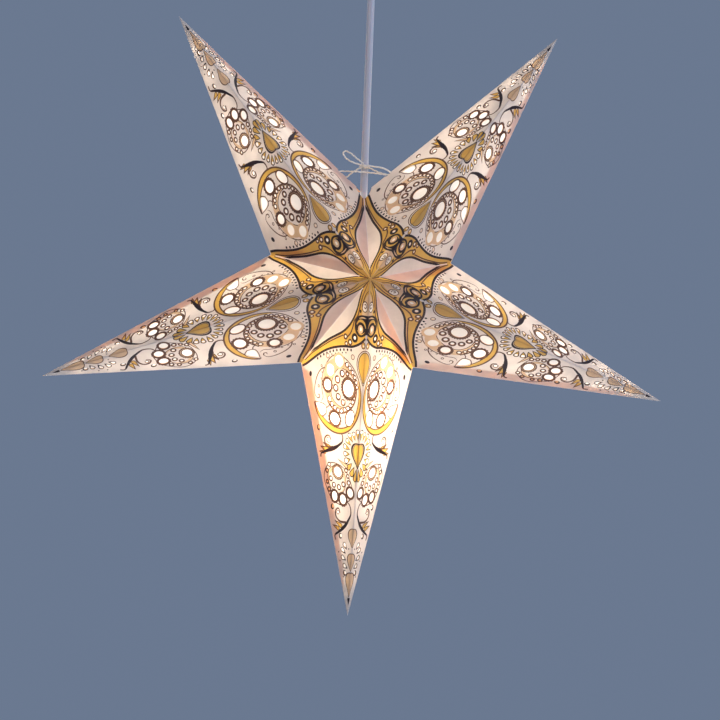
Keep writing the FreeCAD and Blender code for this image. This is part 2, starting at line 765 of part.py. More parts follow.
def make_bulb():
    """An E14 golf-ball bulb, measured from the top of its foot contact."""
    top = "holder_top + 20.8"
    foot = [("0", "0"), ("2.2", "0"), ("2.2", "-1.2"), ("0", "-1.2")]
    turned("bulb_foot_contact", foot, top)
    bead = [("0", "-1.2"), ("4", "-1.2"), ("5.6", "-bead_tall"), ("0", "-bead_tall")]
    turned("bulb_insulator", bead, top)
    cap = [
        ("5.6", "-bead_tall"),
        ("cap_rad", "-bead_tall - 0.8"),
        ("cap_rad", "-bead_tall - cap_long"),
        ("neck_rad", "-bead_tall - cap_long"),
        ("neck_rad", "-bead_tall - 1.2"),
        ("5.4", "-bead_tall - 0.4"),
        ("0", "-bead_tall - 0.4"),
        ("0", "-bead_tall"),
    ]
    turned("bulb_cap", cap, top)
    lip = f"({top} + bead_tall + cap_long)"
    cut("bulb_glass", globe_solid("bulb_outside", "0", lip), [globe_solid("bulb_inside", "glass_thick", lip)])
    stem = [
        ("0", "6"),
        ("neck_rad - glass_thick", "6"),
        ("neck_rad - glass_thick", "4"),
        ("3", "-2"),
        ("2.4", "-14"),
        ("0", "-16"),
    ]
    turned("bulb_stem", stem, lip)
    filaments = []
    foot_point = Vector(0, 0, -size(lip) - 13)
    for quarter in range(4):
        turn = math.pi * quarter / 2
        spread = Vector(math.cos(turn), math.sin(turn), 0)
        start, end = foot_point + spread * 3.4, foot_point + spread * 9 + Vector(0, 0, -22)
        filaments.append(Part.makeCylinder(size("filament_rad"), (end - start).Length, start, end - start))
    piece = doc.addObject("Part::Feature", "bulb_filaments")
    piece.Shape = Part.makeCompound(filaments)
    node(piece, "bulb_filaments")


def finish():
    """Recomputes, refuses anything failed, and writes each sub-part's shape."""
    doc.recompute()
    failed = [item.Name for item in doc.Objects if {"Invalid", "Error"} & set(item.State)]
    bad = [piece.Label for piece in nodes if piece.Shape.isNull() or not piece.Shape.isValid()]
    if failed or bad:
        raise ValueError(f"failed {failed}, bad shapes {bad}")
    os.makedirs("parts", exist_ok=True)
    for piece in nodes:
        piece.Shape.exportStep(f"parts/{piece.Label}.step")
        box = piece.Shape.BoundBox
        print(f"{piece.Label}: solids {len(piece.Shape.Solids)}, z {box.ZMin:.1f} to {box.ZMax:.1f}")


make_ceiling_plate()
make_cord_clamp()
make_terminals()
make_cup()
make_cord()
make_tie()
make_arms()
make_lampholder()
make_bulb()
finish()
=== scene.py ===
"""The looks of a five-pointed folded paper star lantern, lit from inside, on its lamp cord.

Lengths in the ornament's tables are millimetres on one facet of an arm: u runs along the ridge from the
star's front point to the arm's tip, and v runs from the ridge towards the arm's side edge.
"""
import json
import math

import bpy
from mathutils import Euler, Matrix, Vector, noise
from mathutils.geometry import delaunay_2d_cdt


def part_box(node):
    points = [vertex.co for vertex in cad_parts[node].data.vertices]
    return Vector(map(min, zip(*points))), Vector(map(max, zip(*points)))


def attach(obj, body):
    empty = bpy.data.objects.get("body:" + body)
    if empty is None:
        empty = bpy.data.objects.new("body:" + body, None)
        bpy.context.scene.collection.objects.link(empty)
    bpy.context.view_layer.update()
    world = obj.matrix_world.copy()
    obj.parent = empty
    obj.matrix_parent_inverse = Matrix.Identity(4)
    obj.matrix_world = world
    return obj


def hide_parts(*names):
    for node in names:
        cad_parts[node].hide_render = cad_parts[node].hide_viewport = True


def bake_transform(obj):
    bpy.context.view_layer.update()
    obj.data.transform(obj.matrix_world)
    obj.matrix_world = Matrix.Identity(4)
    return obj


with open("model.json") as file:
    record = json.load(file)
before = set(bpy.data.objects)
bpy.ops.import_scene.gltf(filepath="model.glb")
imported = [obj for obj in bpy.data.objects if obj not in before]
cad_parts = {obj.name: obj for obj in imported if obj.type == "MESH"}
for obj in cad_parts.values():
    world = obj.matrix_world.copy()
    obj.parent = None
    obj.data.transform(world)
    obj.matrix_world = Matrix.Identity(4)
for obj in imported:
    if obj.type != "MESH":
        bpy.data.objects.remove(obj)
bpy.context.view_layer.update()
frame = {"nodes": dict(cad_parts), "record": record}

MM = 0.001
CENTRE = Vector((0, 0, -360)) * MM
TIP_RADIUS = 315 * MM
NOTCH_RADIUS = 92 * MM
HALF_DEPTH = 104 * MM
HALF_ARM = math.radians(36)  # from an arm's middle line to the seam beside it
CARD_THICK = 0.5 * MM
ARMS = {"top_left": 126, "top_right": 54, "right": -18, "bottom": -90, "left": 198}
SEAM_FLAPS = {"top_right": (1, -1), "right": (1,), "bottom": (1,), "left": (1,)}  # 1 is its clockwise side
CORD_OPENING = 7.5 * MM
TIE_LEVEL = 110 * MM
TIE_HOLES = {("top_left", 1): (2.5, -4), ("top_right", -1): (1.5,)}  # mm above the tie's level
TIE_HOLE = 1.9 * MM
CORD_RADIUS = 3.6 * MM
TWINE_RADIUS = 0.85 * MM
BOUNCED = 56  # watts per square metre of an arm's inside, for the light that bounces about in it
BOUNCE_SHARES = (0.38, 0.52, 0.66, 0.78, 0.88)  # where that light's lamps are on the way out to a tip
ARM_ROOM = 58 * MM  # what an arm's inside would measure at the star's centre, from its middle to a facet
FLOOR_LEVEL, FLOOR_REACH = -3.0, 9.0  # metres
PEN = 1.75  # mm, one stroke of the pen: line widths and the rings round windows are given in strokes
POINT_SPOT, NOTCH_SPOT, TIP_SPOT = (0, 0), (103.2, 92.8), (331.7, 0)  # a facet's corners
SIDE_HIGHLIGHT = 0.9  # mm, the painted highlight along an arm's side edge fold

# ------------------------------------------------------------------ ornament, drawn in paint order


def curve(points, closed=False, step=1.3):
    """Points along a smooth line through the given ones, about a step apart."""
    points = [Vector(p) for p in points]
    count = len(points)
    spans = range(count if closed else count - 1)
    result = []
    for i in spans:
        near = [points[(i + k) % count] for k in (-1, 0, 1, 2)]
        if not closed:
            near[0] = points[max(i - 1, 0)]
            near[3] = points[min(i + 2, count - 1)]
        a, b, c, d = near
        parts = max(2, round((c - b).length / step))
        for k in range(parts):
            t = k / parts
            even = b * 2 + (c - a) * t + (a * 2 - b * 5 + c * 4 - d) * t**2 + (b * 3 - a - c * 3 + d) * t**3
            result.append(even * 0.5)
    if not closed:
        result.append(points[-1])
    return result


class Ornament:
    """Shapes painted over each other on one facet. The last one painted on a spot is the one that shows."""

    def __init__(self):
        self.shapes = []

    def patch(self, ink, points):
        self.shapes.append((ink, [Vector(p) for p in points]))

    def area(self, ink, points):
        self.patch(ink, curve(points, closed=True))

    def disc(self, ink, u, v, half_u, half_v=None, tilt=0.0, bumps=0):
        """An ellipse, with this many small bumps round it."""
        half_v = half_v or half_u
        count = max(10, round(2.6 * (half_u + half_v)), bumps * 4)
        lean = math.radians(tilt)
        points = []
        for k in range(count):
            turn = math.tau * k / count
            swell = 1 + (0.05 * math.cos(turn * bumps) if bumps else 0)
            x, y = half_u * math.cos(turn) * swell, half_v * math.sin(turn) * swell
            along = u + x * math.cos(lean) - y * math.sin(lean)
            points.append((along, v + x * math.sin(lean) + y * math.cos(lean)))
        self.patch(ink, points)

    def window(self, u, v, half_u, half_v=None, rim=1.3, ink="brown", tilt=0.0, bumps=0):
        """A die-cut window with a printed ring round it."""
        half_v = half_v or half_u
        self.disc(ink, u, v, half_u + rim * PEN, half_v + rim * PEN, tilt, bumps)
        self.disc("hole", u, v, half_u, half_v, tilt)

    def line(self, ink, points, width, start=1.0, end=1.0):
        """A pen line, with its full width in the middle and the shares start and end of it at the ends."""
        path = curve(points)
        last = len(path) - 1
        edges = []
        for k, point in enumerate(path):
            run = (path[min(k + 1, last)] - path[max(k - 1, 0)]).normalized()
            t = k / last
            thin, near = (start, t) if t < 0.5 else (end, 1 - t)
            share = thin + (1 - thin) * min(1, 2.5 * near)
            half = Vector((-run.y, run.x)) * width * PEN * share / 2
            edges.append((point + half, point - half))
        for (a, b), (c, d) in zip(edges, edges[1:]):
            self.patch(ink, [a, b, d, c])

    def drop(self, ink, u, v, tip_u, tip_v, half):
        """A teardrop with its round end at u, v and its point at tip_u, tip_v."""
        base, axis = Vector((u, v)), Vector((tip_u - u, tip_v - v))
        side = Vector((-axis.y, axis.x)).normalized() * half
        out = axis.normalized() * half
        corners = [base - out, base - out * 0.6 + side * 0.8, base + side, base + axis * 0.5 + side * 0.62]
        corners += [base + axis, base + axis * 0.5 - side * 0.62, base - side, base - out * 0.6 - side * 0.8]
        self.patch(ink, curve(corners[:5], step=0.8) + curve(corners[4:] + corners[:1], step=0.8)[1:-1])


def mirrored(points):
    """A half outline on one side of the ridge, with its mirror image, as one closed outline."""
    return points + [(u, -v) for u, v in reversed(points) if v > 0]


PETAL = [
    (10.5, 9.4), (15, 11), (22, 13), (31, 15.2), (40, 18.8), (47, 23), (53, 28.2), (58, 34), (63, 42),
    (69, 52), (76, 62), (82, 70), (88, 79),
]
BAND = [
    (57, 1.5), (62, 6.5), (66, 12.5), (69.2, 20), (71, 29), (73.4, 38), (77, 48), (82, 58), (88, 67),
    (95, 76), (101, 83.5), (105.5, 90.6),
]


def draw_base(art):
    """The centre of the star: plain petals on the seams, and a gold band that closes round them."""
    art.patch("gold", [POINT_SPOT, BAND[0]] + curve(BAND)[1:] + [NOTCH_SPOT, PETAL[-1]] + curve(PETAL)[::-1])
    art.patch("card", curve(PETAL) + [(98, 88.1), (10.5, 9.4)])
    art.patch("tan", curve([(14, 0), (17, 3.2), (25, 6.5), (37, 8), (40, 0)]))
    art.patch("tan", [(60, 33.5), (66, 44), (72, 54), (80, 65.5), (88, 76), (88, 79)] + curve(PETAL)[:-24:-1])
    inner = [
        (5, 3.2), (11, 5.6), (20, 9.5), (30, 12), (38, 14), (44, 18.5), (50, 20), (57, 23), (62, 28),
        (63.5, 32),
    ]
    art.line("brown", inner, 0.9, start=0.4)
    art.line("brown", [(61, 33), (66.5, 43), (72.5, 53), (80, 64), (89, 76.5), (99, 87)], 0.7)
    art.line("brown", [(2, 1.9), (8, 7), (12, 10.3)], 0.7)
    art.line("dark", PETAL, 1.25, start=0.6)
    boss = [(36.5, -3), (35.8, 5), (37.5, 12), (42, 16.6), (49, 17.6), (55, 14.6), (57.4, 9), (55, 3)]
    art.area("dark", boss + [(49, -3)])
    art.line("gold", [(47.5, 1.8), (43.5, 4), (41.8, 8), (42.8, 12), (46.5, 14.8)], 1.5, start=0.3, end=0.3)
    art.line("gold", [(51.5, 3.2), (54, 6.2), (54.3, 10), (51.5, 13.6)], 0.7, start=0.3, end=0.3)
    art.line("tan", [(38.2, 2), (38.4, 7), (40, 12)], 0.7, start=0.3, end=0.3)
    art.window(49.8, 9, 2.1, 1.7, rim=1.1, ink="tan")
    art.window(59.8, 16.4, 1.8, rim=1.5, ink="dark")
    art.window(65.4, 22.6, 1.5, rim=1.0)
    art.window(68, 28, 1.1, rim=0.8)
    art.window(61.6, 29.6, 1.3, rim=1.0)
    art.line("dark", BAND, 1.3)
    # painted highlight: a pale line along the seam's fold, beside the petal
    art.patch("fold_highlight", [(10.5, 9.4), (98, 88.1), (98.3, 87.4), (10.9, 9)])
    art.disc("brown", 27.6, 4.9, 5.4, 4.3)
    art.disc("pale", 27.8, 4.9, 4.4, 3.4)
    art.line("brown", [(25.6, 5.8), (25.4, 3.6), (27.6, 2.8), (29.2, 4.2), (28, 5.6)], 0.6)
    art.disc("dark", 33, 10.6, 1.7, 1.3)
    art.line("brown", [(12, 1.2), (16, 4.6), (23, 7.4), (31, 8.6)], 0.7, start=0.3, end=0.3)
    edge = curve(BAND)
    for k in range(11):
        along = edge[18 + 4 * k]
        art.disc("dark", along.x + 3, along.y - 0.8, 1.4, 1.15)
    for k in range(6):
        along = edge[24 + 4 * k]
        art.disc("dark", along.x + 5.8, along.y - 1.4, 0.9, 0.8)


def draw_medallion(art):
    """The ground of the large medallion: a gold crescent, and the bands that its windows lie in."""
    egg = [
        (80.6, 37), (83, 26), (88.5, 15.5), (97, 7.6), (107, 3.4), (118, 1.8), (130, 3.4), (141, 8.4),
        (150, 16), (155.6, 26), (157.4, 38), (155, 50), (149.5, 59.5), (142.5, 66), (136, 69), (133.6, 66),
        (132.8, 60), (128, 57), (120, 59.5), (110, 60), (101, 58.5), (92, 54), (84.5, 47),
    ]
    crescent = [
        (104, 6.6), (112, 5.2), (121, 5.4), (131, 7.6), (141, 12.6), (148, 20.6), (151.6, 31), (151.2, 42),
        (148.6, 52), (143.6, 60.5), (137, 67.5),
    ]
    chain = [
        (87, 28), (91, 19), (97, 12.4), (105, 9.4), (114, 9), (123, 11.4), (130, 17), (135, 25),
        (136.6, 34), (134.6, 43), (129.6, 50), (121, 55), (111, 58), (100, 57), (91, 51), (86, 43),
        (85, 35),
    ]
    heart = [
        (92.6, 30), (94, 21.5), (99.6, 13.4), (108, 10.4), (116.6, 10.6), (124, 14.6), (129, 21.6),
        (130.6, 30), (128.6, 38.4), (123.4, 44.6), (115, 46.6), (106.4, 44.8), (98.6, 41), (93.6, 36),
    ]
    art.area("brown", [(u * 1.005 - 0.6, v * 1.01 - 0.4) for u, v in egg])
    art.area("card", [(118 + (u - 118) * 0.975, 33 + (v - 33) * 0.972) for u, v in egg])
    art.patch("gold", curve(egg[3:14]) + curve(crescent[::-1]))
    art.line("brown", egg[2:15], 1.0, start=0.5)
    art.line("brown", crescent, 0.8, start=0.4, end=0.6)
    art.area("tan", chain)
    art.line("brown", chain[:11], 0.8)
    art.area("brown", heart)
    art.area("card", [(111.6 + (u - 111.6) * 0.955, 28.4 + (v - 28.4) * 0.955) for u, v in heart])
    art.line("brown", [(131.6, 46), (136, 49.6), (136.4, 56)], 0.6, end=0.4)


def draw_medallion_windows(art):
    """The medallion's windows, and the thin scroll and rings beside it."""
    for u, v, radius in CHAIN_WINDOWS:
        art.window(u, v, radius, rim=0.75)
    for u, v, radius in HEART_WINDOWS:
        art.window(u, v, radius, rim=1.15)
    art.disc("brown", 110, 20.6, 11.5, 10.7, bumps=26)
    art.disc("tan", 110, 20.6, 9.5, 8.8)
    art.window(110, 20.8, 8, 7.3, rim=0.8)
    art.window(87, 36.6, 5.2, 5.8, rim=1.5, ink="tan")
    art.window(98.8, 49, 5.4, 5.2, rim=1.5, ink="tan")
    art.window(114.2, 51.4, 4.9, 4.9, rim=1.7, bumps=14)
    art.window(137.6, 16, 8, 4.9, rim=0.9, tilt=22)
    art.window(144, 37.6, 5.6, 6.6, rim=1.7, bumps=16)
    art.drop("brown", 140.2, 56.6, 135.4, 69.6, 6.7)
    art.drop("card", 140.2, 56.8, 135.8, 67.6, 5.8)
    art.drop("hole", 140.1, 56.8, 136.2, 66, 4.7)
    tendril = [(98.6, 56.6), (101, 61.4), (106, 65.6), (113, 68.6), (121, 70), (128, 69.2), (130.8, 65)]
    art.line("brown", tendril, 0.7, end=0.5)
    art.line("brown", [(130.8, 65), (129.6, 62), (126.8, 62.4), (127.4, 65)], 0.7, end=0.4)
    for u, v, radius in ((98.2, 61.6, 1.5), (110.6, 61.2, 1.1), (118.8, 64, 1.7), (104, 60.4, 1)):
        art.disc("brown", u, v, radius)
        art.disc("card", u, v, radius * 0.5)


CHAIN_WINDOWS = [
    (88, 25, 1.5), (90.2, 20.6, 1.3), (93.2, 16.2, 1.4), (97, 12.6, 1.2), (101.4, 10, 1.3), (105.8, 8.8, 1),
    (117, 11.6, 1.1), (121.2, 13.6, 1.3), (125.4, 16.4, 1.2), (129, 19.8, 1.4), (131.8, 24, 1.3),
    (134, 28.6, 1.4), (134.4, 33.6, 1.3), (133.4, 38.4, 1.5), (131, 43, 1.4), (127, 47.2, 1.7),
]
HEART_WINDOWS = [
    (98, 31, 1.9), (105.4, 37.4, 2.1), (114, 39, 2), (121.6, 34.6, 1.8), (125.4, 27, 1.6),
    (96.4, 23.6, 1.1),
]


def draw_gem(art):
    """The teardrop on the ridge between two medallions."""
    gem = [(68.4, 0), (70.4, 5.2), (75.4, 9.8), (82.6, 11.4), (90, 9.4), (96.6, 5), (102.4, 0)]
    draw_ridge_drop(art, gem, (("brown", 1.0), ("card", 0.9), ("dark", 0.8), ("gold", 0.71)))
    art.disc("brown", 64.2, 3.6, 3.5, 3)
    art.disc("gold", 64.2, 3.6, 2.5, 2.1)
    art.window(64.8, 3.4, 1.1, rim=0.1, ink="gold")
    for u, v in ((78.6, 17.4), (86.2, 53.6)):
        art.disc("brown", u, v, 2.7)
        art.disc("card", u, v, 2)
        art.window(u, v, 1.1, rim=0.3, ink="tan")
    art.disc("dark", 110, 77.4, 2.8, 2, tilt=8)
    draw_clear_dot(art, 159, 60.6)
    draw_clear_dot(art, 230.6, 32.6)


def draw_clear_dot(art, u, v):
    """A small window with a dark crescent along its outer side."""
    art.disc("dark", u, v, 3, 2.5, tilt=8)
    art.disc("hole", u - 0.5, v - 0.6, 2, 1.6, tilt=8)


def draw_flower(art, centre, gem, petals):
    """A drop-shaped gem on the ridge in a ring of petals, some of them with a window in their round end."""
    for turn, reach, half, clear in petals:
        way = Vector((-math.cos(math.radians(turn)), math.sin(math.radians(turn))))
        foot = Vector((centre + way.x * 13.6, way.y * 12.6))
        end = foot + way * reach
        art.drop("dark", end.x, end.y, foot.x, foot.y, half + 0.3)
        inner = foot + way * reach * 0.2
        art.drop("gold", end.x, end.y, inner.x, inner.y, half - 0.8)
        if clear:
            art.disc("hole", end.x, end.y, half - 0.9)
    draw_ridge_drop(art, gem, (("dark", 1.0), ("tan", 0.78), ("dark", 0.72), ("gold", 0.66)))


def draw_ridge_drop(art, outline, rings):
    """A drop across the ridge, from half its outline, as rings of ink one inside the other."""
    middle = sum(u for u, _ in outline) / len(outline)
    for ink, share in rings:
        ring = [(middle + (u - middle) * (1 + share) / 2, v * share) for u, v in outline]
        art.patch(ink, curve(mirrored(ring), True))


def draw_leaf(art, stem, lobes, curl, width):
    """A scroll: gold lobes with brown outlines, a curl, and a stem that is dark where it is thick."""
    for ink, grow in (("brown", 1.0), ("gold", 0.68)):
        for base_u, base_v, tip_u, tip_v, half in lobes:
            end_u, end_v = base_u + (tip_u - base_u) * grow, base_v + (tip_v - base_v) * grow
            art.drop(ink, base_u, base_v, end_u, end_v, half * grow)
    art.line("brown", curl, 1.1, start=1.2, end=0.6)
    art.line("brown", stem, width * 0.6, start=0.6, end=0.7)
    art.line("dark", stem[2:-1], width, start=0.3, end=0.35)


def draw_outer(art):
    """Beyond the large medallion: the flower, and the small medallion between two scrolls."""
    gem = [(158.4, 0), (158.8, 4), (160.6, 8.4), (164.6, 11), (170, 10.6), (175.2, 7.4), (179.8, 3.2)]
    petals = [
        (9, 8.4, 2.4, True), (27, 7, 2.2, True), (45, 8.2, 2.5, True), (63, 7, 2.3, True),
        (82, 8, 2.6, True), (101, 7, 2.6, True), (120, 7, 2.9, True), (139, 7.4, 2.9, False),
        (158, 9, 2.9, False), (173, 11.4, 2.6, False),
    ]
    draw_flower(art, 169.6, gem + [(183.4, 0)], petals)
    stem = [(155.8, 27.4), (157.4, 24.6), (163.4, 24.6), (169.6, 31), (175, 39.6), (179, 47.4), (183, 54)]
    lobes = [(174.4, 43, 171.6, 53.4, 2.9), (177.4, 46.4, 176.6, 57, 2.9), (180.4, 49, 182.4, 58, 2.2)]
    curl = [(172, 37.4), (174.2, 44), (172.2, 49), (167.4, 50.4), (163.4, 47.4), (163.2, 43.4), (166.6, 41.4)]
    draw_leaf(art, stem + [(187, 54.6)], lobes, curl, 2.3)
    art.window(167.2, 44.8, 2, rim=0.5)
    draw_small_medallion(art)
    stem = [(219.7, 12.5), (222.1, 7.4), (230.3, 5.3), (240.6, 10.2), (249.3, 17.3), (257, 26), (261.9, 24.6)]
    lobes = [(245.6, 18.6, 243, 28.6, 2.5), (249.4, 22.2, 248.4, 31, 2.4)]
    curl = [(240, 11.2), (241.7, 20.3), (238.7, 26.4), (232.8, 27.4), (229.6, 23.6), (233.6, 21)]
    draw_leaf(art, stem, lobes, curl, 1.9)
    art.window(233.8, 24.2, 1.5, rim=0.4)


def draw_tip(art):
    """The last part of the arm: three plain gems on the ridge, and small petals and dots beside them."""
    gem = [(243, 0), (244.6, 4.6), (248.8, 7.4), (254, 6.8), (258.4, 3.6), (262.4, 0)]
    draw_ridge_drop(art, gem, (("brown", 1.0), ("tan", 0.84)))
    gem = [(268, 0), (269.8, 4.4), (273.6, 6.4), (278.6, 5.4), (283, 2.6), (286.4, 0)]
    draw_ridge_drop(art, gem, (("brown", 1.0), ("tan", 0.82)))
    for u, v, tip_u, tip_v in TIP_PETALS:
        art.drop("dark", u, v, tip_u, tip_v, 2.7)
        art.drop("hole", u, v, tip_u + (u - tip_u) * 0.4, tip_v + (v - tip_v) * 0.4, 1.9)
    draw_clear_dot(art, 255.8, 18)
    draw_clear_dot(art, 290.4, 8.4)
    for u, v in ((264.8, 4.8), (272.4, 19), (280.4, 16.4), (294.6, 9.6)):
        art.disc("dark", u, v, 0.9, 0.7)
    gem = [(287.4, 0), (289.4, 4.8), (293.6, 6.8), (300, 6), (306, 3), (312.6, 0)]
    draw_ridge_drop(art, gem, (("brown", 1.0), ("tan", 0.84)))
    art.drop("dark", 315, 0, 320.4, 0, 1.9)


def draw_small_medallion(art):
    """The small medallion in the arm's outer half."""
    edge = [
        (186.4, 30), (187.4, 21), (191, 14.6), (197, 9.4), (203.6, 5.6), (211, 3.4), (217, 7.6), (221, 13),
        (225.4, 18.6), (225.6, 27), (222.6, 36), (216.4, 42), (208, 47.4), (199.6, 48), (191.6, 44),
        (187.4, 38),
    ]
    art.area("brown", edge)
    art.area("card", [(206 + (u - 206) * 0.95, 27 + (v - 27) * 0.955) for u, v in edge])
    inner = [
        (189.4, 31), (190.6, 22), (195, 16.6), (203, 15), (211, 17.6), (215, 24), (214.6, 33), (210, 40),
        (201, 43), (193, 39.6),
    ]
    art.area("brown", inner)
    art.area("tan", [(202.4 + (u - 202.4) * 0.95, 28.6 + (v - 28.6) * 0.95) for u, v in inner])
    art.area("card", [(204 + (u - 202.4) * 0.8, 28.6 + (v - 28.6) * 0.8) for u, v in inner])
    art.disc("brown", 194.6, 28.4, 7.6, 8.6, bumps=20)
    art.disc("tan", 194.6, 28.4, 6.2, 7.1)
    art.window(194.4, 28.4, 4.8, 5.6, rim=0.6)
    art.window(209.6, 8.4, 4.3, 4.2, rim=1.4)
    art.window(219, 18.2, 4.6, 4.4, rim=1.5, bumps=12)
    art.window(219.4, 30.6, 4.6, 4, rim=1.5, bumps=12)
    for u, v, radius in SMALL_WINDOWS:
        art.window(u, v, radius, rim=0.85)
    art.drop("brown", 185.6, 15.6, 181.6, 30, 2.1)
    art.drop("tan", 185.4, 16.2, 182.4, 27, 1.2)


SMALL_WINDOWS = [
    (189.6, 16.4, 1.2), (194.4, 13.2, 1.1), (200.4, 11.4, 1.4), (204.2, 18.8, 1.6), (208.8, 25, 1.7),
    (208.8, 32.6, 1.6), (203.8, 37.6, 1.5), (215, 39, 1.4), (197.6, 44, 1.2), (190.8, 41.4, 1.2),
    (208.4, 42.4, 1.1),
]
TIP_PETALS = [
    (262.6, 11.4, 266.6, 7.4), (268.4, 14, 271, 8.6), (276, 13, 277.4, 7.4), (283.4, 9.6, 284.6, 4.6),
]


def draw_facet():
    art = Ornament()
    art.patch("card", [POINT_SPOT, NOTCH_SPOT, TIP_SPOT])
    # painted highlight: a pale line along the ridge's fold, from the medallion out to the tip
    art.patch("fold_highlight", [(100, 0), TIP_SPOT, (TIP_SPOT[0], 0.1), (100, 0.35)])
    draw_base(art)
    draw_medallion(art)
    draw_medallion_windows(art)
    draw_gem(art)
    draw_outer(art)
    draw_tip(art)
    notch, tip = Vector(NOTCH_SPOT), Vector(TIP_SPOT)
    edge = (tip - notch).normalized()
    inward = Vector((edge.y, -edge.x))
    # painted highlight: a pale line along the fold of the arm's side edge
    art.patch("fold_highlight", [notch, tip, tip + inward * SIDE_HIGHLIGHT * 0.2, notch + inward * SIDE_HIGHLIGHT])
    return art.shapes


# ------------------------------------------------------------------ folded card


class Facet:
    """The plane of one facet: side 1 is the arm's clockwise side, and face -1 the front."""

    def __init__(self, angle, side, face):
        turn = math.radians(angle)
        out = Vector((math.cos(turn), 0, math.sin(turn)))
        clockwise = Vector((math.sin(turn), 0, -math.cos(turn)))
        self.point = CENTRE + Vector((0, face * HALF_DEPTH, 0))
        self.tip = CENTRE + out * TIP_RADIUS
        seam = out * math.cos(HALF_ARM) + clockwise * side * math.sin(HALF_ARM)
        self.notch = CENTRE + seam * NOTCH_RADIUS
        self.along = (self.tip - self.point).normalized()
        across = self.notch - self.point
        self.across = (across - self.along * across.dot(self.along)).normalized()
        self.out = self.along.cross(self.across)
        self.flipped = self.out.dot(self.point - CENTRE) < 0
        if self.flipped:
            self.out = -self.out

    def place(self, u, v, depth=0.0):
        """The place of a spot in millimetres on the facet, at a depth in metres under it."""
        return self.point + self.along * u * MM + self.across * v * MM - self.out * depth

    def spot(self, wanted, axes):
        """Where on the facet the two named coordinates have the wanted values."""
        (i, j), (a, b) = axes, wanted
        au, av = self.along[i] * MM, self.across[i] * MM
        bu, bv = self.along[j] * MM, self.across[j] * MM
        a, b = a - self.point[i], b - self.point[j]
        det = au * bv - av * bu
        return ((a * bv - b * av) / det, (b * au - a * bu) / det)


def round_cut(facet, middle, radius, axes):
    """The outline on a facet of a round hole cut along the axis that isn't among the two given."""
    turns = [math.tau * k / 28 for k in range(28)]
    return [
        facet.spot((middle[0] + radius * math.cos(t), middle[1] + radius * math.sin(t)), axes) for t in turns
    ]


def notch_cuts(name, side, facet):
    """The cord's opening and the twine's holes, on the facets beside the top notch."""
    if (name, side) not in TIE_HOLES:
        return []
    cuts = [("hole", round_cut(facet, (0, 0), CORD_OPENING, (0, 1)))]
    for rise in TIE_HOLES[name, side]:
        level = TIE_LEVEL + rise * MM
        cuts.append(("hole", round_cut(facet, (0, CENTRE.z + level), TIE_HOLE, (1, 2))))
    return cuts


def divide(shapes, extra=()):
    """Cuts painted shapes into triangles that don't overlap, each with the ink that shows there."""
    corners, faces = [Vector(p) for p in extra], []
    for _, outline in shapes:
        outline = [Vector(p) for p in outline]
        area = sum(a.x * b.y - a.y * b.x for a, b in zip(outline, outline[1:] + outline[:1]))
        faces.append(list(range(len(corners), len(corners) + len(outline))))
        corners += outline if area > 0 else outline[::-1]
    points, _, triangles, _, _, owners = delaunay_2d_cdt(corners, [], faces, 1, 1e-4, True)
    inks = [shapes[max(owner)][0] if owner and 0 in owner else None for owner in owners]
    kept = [(triangle, ink) for triangle, ink in zip(triangles, inks) if ink]
    return points, kept


# the pale fold ink is a painted highlight, for light caught along the folds
INKS = ["card", "gold", "tan", "brown", "dark", "pale", "fold_highlight", "rim"]


def add_mesh(name, corners, faces, slots, materials):
    mesh = bpy.data.meshes.new(name)
    mesh.from_pydata(corners, [], faces)
    for material in materials:
        mesh.materials.append(material)
    mesh.polygons.foreach_set("material_index", slots)
    mesh.validate()
    piece = bpy.data.objects.new(name, mesh)
    bpy.context.scene.collection.objects.link(piece)
    return piece


def add_facet(facet, divided, corners, faces, slots):
    """Lays a divided facet in its plane, with a rim as deep as the card round each window."""
    points, kept = divided
    start = len(corners)
    corners += [facet.place(p.x, p.y) for p in points]
    around = {}  # the card's edges, in a dict because it keeps its order
    for triangle, ink in kept:
        if ink == "hole":
            continue
        order = list(triangle)[::-1] if facet.flipped else list(triangle)
        faces.append([start + k for k in order])
        slots.append(INKS.index(ink))
        for a, b in zip(order, order[1:] + order[:1]):
            around[a, b] = True
    inside = {k for triangle, ink in kept if ink == "hole" for k in triangle}
    low = {}
    for a, b in around:
        if (b, a) in around or a not in inside or b not in inside:
            continue
        for k in (a, b):
            if k not in low:
                low[k] = len(corners)
                corners.append(facet.place(points[k].x, points[k].y, CARD_THICK))
        faces.append([start + b, start + a, low[a], low[b]])
        slots.append(INKS.index("rim"))


STRIP = [(105, 91.6), (312, 7.4), (290, 10.5), (250, 23.5), (180, 49.5), (112, 76)]
FLAP = [(18, -0.5), (130, -0.5), (119, 11), (29, 11)]  # along the seam from the front point, and over it


def add_strip(owner, corners, faces, slots):
    """The doubled strip that closes an arm along its clockwise side edge, under its facet."""
    start = len(corners)
    corners += [owner.place(u, v, CARD_THICK * 1.2) for u, v in STRIP]
    faces.append(list(range(start, start + len(STRIP))))
    slots.append(INKS.index("rim"))


def add_flap(inside, corners, faces, slots):
    """A seam flap, glued under the neighbour's facet along the seam from its front point to the notch."""
    seam = (inside.notch - inside.point).normalized()
    over = (inside.along - seam * inside.along.dot(seam)).normalized()
    start = len(corners)
    for along, wide in FLAP:
        corners.append(inside.point + seam * along * MM + over * wide * MM - inside.out * CARD_THICK * 1.5)
    faces.append(list(range(start, start + len(FLAP))))
    slots.append(INKS.index("rim"))


